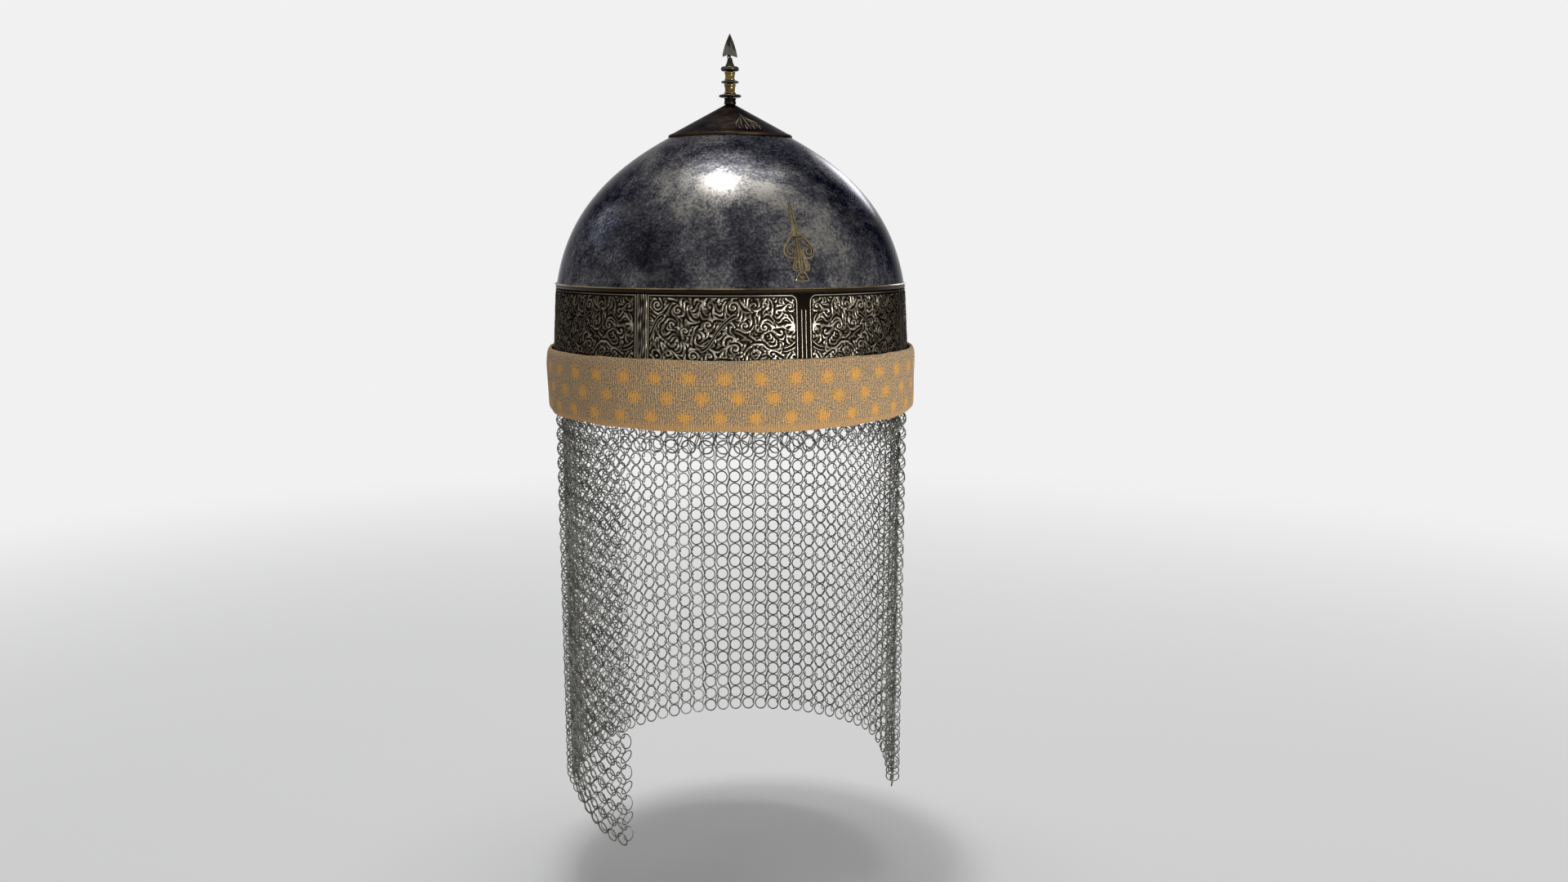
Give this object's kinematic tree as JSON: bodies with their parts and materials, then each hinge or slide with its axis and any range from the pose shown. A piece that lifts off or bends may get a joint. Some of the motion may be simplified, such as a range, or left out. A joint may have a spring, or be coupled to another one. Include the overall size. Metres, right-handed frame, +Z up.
{
  "type": "mughal helmet",
  "caption": "Domed steel helmet with a turned spearhead finial, a chiselled brow band, a padded cloth rim and a hanging mail neck guard in drops that swing outwards.",
  "frame": {"origin": "centre of the bowl's lower rim, where the wearer's head goes in", "axes": "+Z up through the finial; the face opening looks along -Y; the wearer's left is +X"},
  "size_m": [0.224, 0.224, 0.471],
  "materials": {
    "blued_steel": "dark blued steel with a mottled grey and tan patina",
    "dark_bronze": "dark brown patinated copper alloy, worn at its rim",
    "chiselled_steel": "chiselled scrolls, bright on the ridges and black in the grooves",
    "aged_brass": "aged brass with dark recesses",
    "gilt": "worn gilding over steel",
    "bright_steel": "rounded bright steel, lightly tarnished",
    "printed_cloth": "woven tan cotton with rows of orange stitched dots",
    "lining_cloth": "quilted cotton, undyed",
    "mail_steel": "grey steel wire rings with an olive tarnish"
  },
  "bodies": {
    "helmet": {"bowl": "blued_steel", "crown_plate": "dark_bronze", "brow_band": "chiselled_steel", "band_top_moulding": "aged_brass", "front_palmette": "gilt", "neck_collar": "dark_bronze", "lower_disc": "bright_steel", "lower_spool": "aged_brass", "middle_disc": "bright_steel", "upper_spool": "aged_brass", "upper_disc": "bright_steel", "finial_cone": "bright_steel", "spearhead": "bright_steel", "finial_rod": "bright_steel", "crown_washer": "blued_steel", "crown_nut": "blued_steel", "lining": "lining_cloth", "cloth_roll": "printed_cloth", "band_rivet_1": "aged_brass", "band_rivet_2": "aged_brass", "band_rivet_3": "aged_brass", "band_rivet_4": "aged_brass", "front_fringe_1": "mail_steel", "front_fringe_2": "mail_steel", "front_fringe_3": "mail_steel", "hanger_ring_1": "mail_steel", "hanger_ring_2": "mail_steel", "hanger_ring_3": "mail_steel", "hanger_ring_4": "mail_steel", "hanger_ring_5": "mail_steel", "hanger_ring_6": "mail_steel", "hanger_ring_7": "mail_steel", "hanger_ring_8": "mail_steel", "hanger_ring_9": "mail_steel", "hanger_ring_10": "mail_steel", "hanger_ring_11": "mail_steel", "hanger_ring_12": "mail_steel", "hanger_ring_13": "mail_steel", "hanger_ring_14": "mail_steel", "hanger_ring_15": "mail_steel"},
    "left_mail": {"mail_left_1": "mail_steel", "mail_left_2": "mail_steel"},
    "nape_mail": {"mail_nape_1": "mail_steel", "mail_nape_2": "mail_steel"},
    "right_mail": {"mail_right_1": "mail_steel", "mail_right_2": "mail_steel"}
  },
  "joints": [
    {"name": "left_mail_swing", "type": "hinge", "parent": "helmet", "child": "left_mail", "pos_m": [0.09168, 0.0154, -0.0028], "axis": [0.1656, -0.9862, 0], "range_deg": [0, 12]},
    {"name": "nape_mail_swing", "type": "hinge", "parent": "helmet", "child": "nape_mail", "pos_m": [0, 0.09297, -0.0028], "axis": [1, 0, 0], "range_deg": [0, 12]},
    {"name": "right_mail_swing", "type": "hinge", "parent": "helmet", "child": "right_mail", "pos_m": [-0.09168, 0.0154, -0.0028], "axis": [0.1656, 0.9862, 0], "range_deg": [0, 12]}
  ]
}
